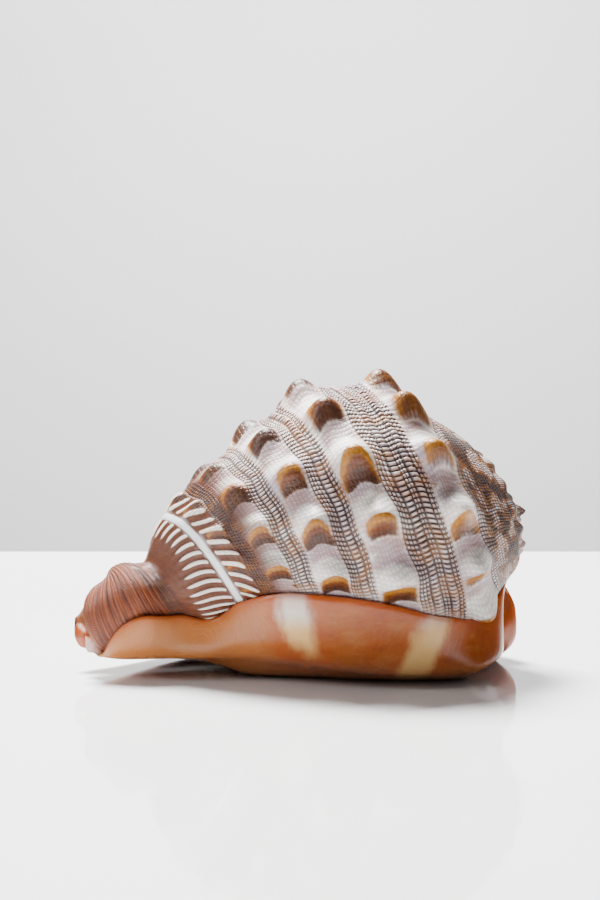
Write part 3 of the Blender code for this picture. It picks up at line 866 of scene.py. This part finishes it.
def knob_colour(finish, look, wall):
    """Golden tops that darken to brown on the knobs."""
    thread = finish.coil_noise((0.12, 3.5), 2.0, 0.5)
    golden = finish.mix(thread, tuple(look.golden_colour), DEEP_GOLD)
    wall = finish.mix(finish.soft_step(finish.plus(finish.gold, finish.edge_noise), 0.15, 0.7), wall, golden)
    brown_share = finish.soft_step(finish.plus(finish.brown, finish.edge_noise), 0.2, 0.8)
    wall = finish.mix(brown_share, wall, finish.mix(thread, RUST, DARK_RUST))
    dark_share = finish.soft_step(finish.plus(finish.dark_core, finish.edge_noise), 0.3, 0.9)
    return finish.mix(finish.times(dark_share, 0.85), wall, tuple(look.brown_colour))


def cord_colour(finish, wall):
    """White ribs and cord, painted shade on each bead's lower side, and dark grooves: their own brown and
    painted shade.
    """
    wall = finish.mix(finish.soft_step(finish.rib, 0.45, 0.7), wall, RIB_WHITE)
    wall = finish.mix(finish.white_cord, wall, CORD_WHITE)
    # Painted shade: the lower side of each bead is darkened as if lit from above
    painted_shade_side = finish.soft_step(finish.math("FRACT", finish.riblet), 0.62, 0.12)
    painted_shade_share = finish.times(finish.times(painted_shade_side, finish.lines), 0.8)
    wall = finish.mix(painted_shade_share, wall, BEAD_PAINTED_SHADE, blend="MULTIPLY")
    # Darkens the grooves between the beads: partly their own brown, partly painted shade
    depth = finish.plus(0.62, finish.times(finish.broad, 0.6))
    groove_colour_and_shade = finish.mix(finish.soft_step(finish.patch, 0.5, 0.6), GROOVE_DARK, GROOVE_BROWN)
    return finish.mix(finish.times(finish.line_share, depth), wall, groove_colour_and_shade)


def strap_colour(finish, wall):
    """Streaked chestnut strap beside the canal."""
    streaked = finish.mix(finish.soft_step(finish.strap_streak, 0.3, 0.7), STRAP_DARK, STRAP_LIGHT)
    return finish.mix(finish.strap, wall, streaked)


def shield_colour(finish, look):
    """Orange shield with darker swirls, tan towards the canal and two cream patches."""
    reach, _, height = finish.parts(finish.place)
    along = finish.noise(finish.scaled(finish.place, (1.0, 0.3, 0.3)), 90.0, 4.0, 0.6)
    swirl = finish.noise(finish.scaled(finish.place, (1.0, 0.5, 2.2)), 120.0, 5.0, 0.65)
    wander = finish.times(finish.minus(finish.broad, 0.5), 0.010)
    wander = finish.plus(wander, finish.times(finish.minus(along, 0.5), 0.008))
    wandered = finish.plus(wander, reach)
    shield = finish.mix(finish.soft_step(along, 0.3, 0.7), tuple(look.orange_colour), SHIELD_LIGHT)
    shield = finish.mix(finish.times(finish.soft_step(swirl, 0.52, 0.66), 0.35), shield, SHIELD_SWIRL)
    shield = finish.mix(finish.times(finish.soft_step(swirl, 0.46, 0.34), 0.45), shield, SHIELD_DEEP)
    shield = finish.mix(finish.times(finish.soft_step(wandered, 0.005, -0.03), 0.8), shield, SHIELD_TAN)
    faded_height = finish.plus(height, finish.times(wander, 1.5))
    cream = finish.mix(finish.soft_step(height, 0.018, 0.026), CREAM, CREAM_WHITE)
    for slant, middle, half, faded_out, faded_in in CREAM_PATCHES:
        across = finish.plus(wandered, finish.times(height, slant))
        across = finish.math("ABSOLUTE", finish.minus(across, middle))
        faded = finish.soft_step(faded_height, faded_out, faded_in)
        share = finish.times(finish.soft_step(across, half + 0.0015, half - 0.003), faded)
        edge = finish.soft_step(across, half + 0.006, half + 0.001)
        shield = finish.mix(finish.times(edge, 0.35), shield, CREAM_EDGE)
        shield = finish.mix(finish.times(share, 0.9), shield, cream)
    return finish.mix(finish.times(finish.soft_step(height, 0.010, 0.0), 0.7), shield, LOWER_TAN)


def underside_colour(finish, shield):
    """Deeper orange crest and lip, the brown inside, and pale teeth and folds."""
    around = finish.underside
    crest = finish.times(finish.soft_step(around, 0.90, 0.975), 0.85)
    shield = finish.mix(crest, shield, CREST_ORANGE)
    shield = finish.mix(finish.soft_step(around, 0.30, 0.24), shield, LIP_ORANGE)
    inside = finish.times(finish.soft_step(around, 0.22, 0.27), finish.soft_step(around, 0.60, 0.56))
    shield = finish.mix(inside, shield, INSIDE_BROWN)
    folded = finish.times(finish.soft_step(around, 0.55, 0.58), finish.soft_step(around, 0.68, 0.64))
    shield = finish.mix(folded, shield, FOLD_DARK)
    shield = finish.mix(finish.soft_step(finish.tooth, 0.25, 0.6), shield, TOOTH_CREAM)
    return finish.mix(finish.soft_step(finish.fold, 0.3, 0.6), shield, FOLD_CREAM)


def shell_relief(finish):
    """Fine growth lines, grooves between the beads and streaks on the strap, as a bump."""
    growth = finish.coil_noise((3.0, 0.4), 3.0, 0.6)
    fine = finish.noise(finish.place, 420.0, 3.0)
    relief = finish.minus(finish.times(growth, 0.5), finish.line_share)
    relief = finish.plus(relief, finish.times(finish.times(finish.strap_streak, finish.strap), 1.5))
    relief = finish.plus(relief, finish.times(fine, 0.15))
    finish.bump(relief, 0.7, 0.0005)


def shell_finish(look):
    """Beaded white, lavender and brown whorls that pass into a glossy orange shield and lip."""
    finish = ShellFinish("shell_wall_finish")
    wall = whorl_colour(finish, look)
    wall = spire_and_base_colour(finish, look, wall)
    wall = knob_colour(finish, look, wall)
    wall = cord_colour(finish, wall)
    wall = strap_colour(finish, wall)
    shield = underside_colour(finish, shield_colour(finish, look))
    shader = finish.shader
    finish.put(finish.mix(finish.glaze, wall, shield), shader.inputs["Base Color"])
    roughness = finish.mix(finish.glaze, (WALL_ROUGHNESS,) * 3, (SHIELD_ROUGHNESS,) * 3)
    finish.put(roughness, shader.inputs["Roughness"])
    shader.inputs["Specular IOR Level"].default_value = 0.28
    shader.inputs["Coat Weight"].default_value = 0.06
    shader.inputs["Coat Roughness"].default_value = 0.12
    shell_relief(finish)
    return finish.material


def plain_finish(name, colour, roughness):
    finish = Finish(name)
    finish.shader.inputs["Base Color"].default_value = (*colour, 1.0)
    finish.shader.inputs["Roughness"].default_value = roughness
    return finish.material


def table_finish(colour):
    """Smooth pale table top with a faint mottled shine."""
    finish = Finish("table_top_finish")
    place = finish.coordinates.outputs["Object"]
    cloud = finish.noise(place, 14.0, 4.0)
    darker = tuple(0.96 * value for value in colour)
    finish.put(finish.mix(cloud, colour, darker), finish.shader.inputs["Base Color"])
    finish.put(finish.math("MULTIPLY_ADD", cloud, 0.05, 0.05), finish.shader.inputs["Roughness"])
    return finish.material


def link_mesh(name, mesh):
    data = bpy.data.meshes.new(name)
    mesh.to_mesh(data)
    mesh.free()
    made = bpy.data.objects.new(name, data)
    bpy.context.scene.collection.objects.link(made)
    return made


def box_mesh(low, high):
    mesh = bmesh.new()
    bmesh.ops.create_cube(mesh, size=1.0)
    size = [top - bottom for bottom, top in zip(low, high)]
    middle = [0.5 * (top + bottom) for bottom, top in zip(low, high)]
    bmesh.ops.scale(mesh, vec=size, verts=mesh.verts)
    bmesh.ops.translate(mesh, vec=middle, verts=mesh.verts)
    return mesh


class HelmetShellLook(bpy.types.PropertyGroup):
    """Sizes and colours of the shell."""

    bead_height: bpy.props.FloatProperty(
        name="Bead height", description="How high the beads stand, as a share of the usual height",
        default=1.0, min=0.0, max=2.0, subtype="FACTOR")
    white_colour: bpy.props.FloatVectorProperty(
        name="White", description="Lightest colour of the whorls",
        default=(0.80, 0.77, 0.74), subtype="COLOR")
    lavender_colour: bpy.props.FloatVectorProperty(
        name="Lavender", description="Greyish shade of the whorls",
        default=(0.40, 0.34, 0.39), subtype="COLOR")
    bead_colour: bpy.props.FloatVectorProperty(
        name="Beads", description="Pinkish colour of single beads",
        default=(0.50, 0.30, 0.22), subtype="COLOR")
    golden_colour: bpy.props.FloatVectorProperty(
        name="Gold", description="Golden colour on the knobs",
        default=(0.40, 0.165, 0.007), subtype="COLOR")
    brown_colour: bpy.props.FloatVectorProperty(
        name="Brown", description="Darkest colour of the knobs",
        default=(0.032, 0.010, 0.004), subtype="COLOR")
    orange_colour: bpy.props.FloatVectorProperty(
        name="Orange", description="Main colour of the shield",
        default=(0.25, 0.046, 0.006), subtype="COLOR")


class HelmetShellStage(bpy.types.PropertyGroup):
    """Sizes and colours of the table and backdrop, and the camera's lens."""

    table_colour: bpy.props.FloatVectorProperty(
        name="Table", description="Colour of the table top",
        default=(0.88, 0.89, 0.90), subtype="COLOR")
    wall_colour: bpy.props.FloatVectorProperty(
        name="Backdrop", description="Colour of the wall behind",
        default=(0.62, 0.62, 0.625), subtype="COLOR")
    far_edge: bpy.props.FloatProperty(
        name="Far edge", description="How far behind the shell the table ends", default=0.332, unit="LENGTH")
    lens: bpy.props.FloatProperty(
        name="Lens", description="Focal length of the camera in millimetres", default=78.0, min=10.0)


class HELMET_OT_shell(bpy.types.Operator):
    """Builds the whole shell as one closed skin"""

    bl_idname = "helmet.shell"
    bl_label = "Helmet shell"

    def execute(self, context):
        look = context.scene.helmet_look
        data, sheet, paint = make_shell_mesh(look.bead_height)
        paint_mesh(data, sheet, paint)
        data.shade_smooth()
        shell = bpy.data.objects.new("shell_skin", data)
        bpy.context.scene.collection.objects.link(shell)
        data.materials.append(shell_finish(look))
        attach(shell, "root")
        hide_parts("shell")
        return {"FINISHED"}


class HELMET_OT_stage(bpy.types.Operator):
    """Sets up the table, the wall behind it, the lights and the camera"""

    bl_idname = "helmet.stage"
    bl_label = "Table, light and camera"

    def execute(self, context):
        stage = context.scene.helmet_stage
        table = link_mesh("table_top", box_mesh(TABLE_LOW, (TABLE_SIDE, stage.far_edge, 0.0)))
        table.data.materials.append(table_finish(tuple(stage.table_colour)))
        wall = link_mesh("backdrop", box_mesh(BACKDROP_LOW, BACKDROP_HIGH))
        wall.data.materials.append(plain_finish("backdrop_finish", tuple(stage.wall_colour), 0.9))
        world = bpy.data.worlds.new("studio")
        world.use_nodes = True
        background = world.node_tree.nodes["Background"]
        background.inputs["Color"].default_value = (*ROOM_LIGHT, 1.0)
        background.inputs["Strength"].default_value = ROOM_STRENGTH
        context.scene.world = world
        for name, place, target, size, power, colour in LIGHTS:
            light = bpy.data.lights.new(name, "AREA")
            light.shape = "SQUARE"
            light.size = size
            light.energy = power
            light.color = colour
            lamp = bpy.data.objects.new(name, light)
            lamp.location = place
            aim = np.array(target) - np.array(place)
            tilt = math.atan2(math.hypot(aim[0], aim[1]), -aim[2])
            lamp.rotation_euler = (tilt, 0.0, math.atan2(aim[1], aim[0]) - math.pi / 2.0)
            context.scene.collection.objects.link(lamp)
        camera = bpy.data.objects.new("photo_camera", bpy.data.cameras.new("photo_camera"))
        camera.data.lens = stage.lens
        camera.data.sensor_fit = "AUTO"
        camera.data.sensor_width = 36.0
        camera.location = (CAMERA_PLACE + PLACE_SHIFT) * MM
        camera.rotation_euler = (math.radians(90.0 - CAMERA_PITCH), 0.0, 0.0)
        camera.data.clip_end = 20.0
        context.scene.collection.objects.link(camera)
        context.scene.camera = camera
        return {"FINISHED"}


class HELMET_PT_panel(bpy.types.Panel):
    """Shows the settings of the shell and the stage, and the buttons that build them"""

    bl_label = "Helmet Shell"
    bl_idname = "HELMET_PT_panel"
    bl_space_type = "VIEW_3D"
    bl_region_type = "UI"
    bl_category = "Helmet Shell"

    def draw(self, context):
        for settings in (context.scene.helmet_look, context.scene.helmet_stage):
            for name in settings.__annotations__:
                self.layout.prop(settings, name)
        self.layout.operator(HELMET_OT_shell.bl_idname)
        self.layout.operator(HELMET_OT_stage.bl_idname)


CLASSES = (HelmetShellLook, HelmetShellStage, HELMET_OT_shell, HELMET_OT_stage, HELMET_PT_panel)


def register():
    for made in CLASSES:
        bpy.utils.register_class(made)
    bpy.types.Scene.helmet_look = bpy.props.PointerProperty(type=HelmetShellLook)
    bpy.types.Scene.helmet_stage = bpy.props.PointerProperty(type=HelmetShellStage)


def unregister():
    del bpy.types.Scene.helmet_stage
    del bpy.types.Scene.helmet_look
    for made in reversed(CLASSES):
        bpy.utils.unregister_class(made)


def main():
    register()
    bpy.ops.helmet.shell()
    bpy.ops.helmet.stage()


if __name__ == "__main__":
    main()
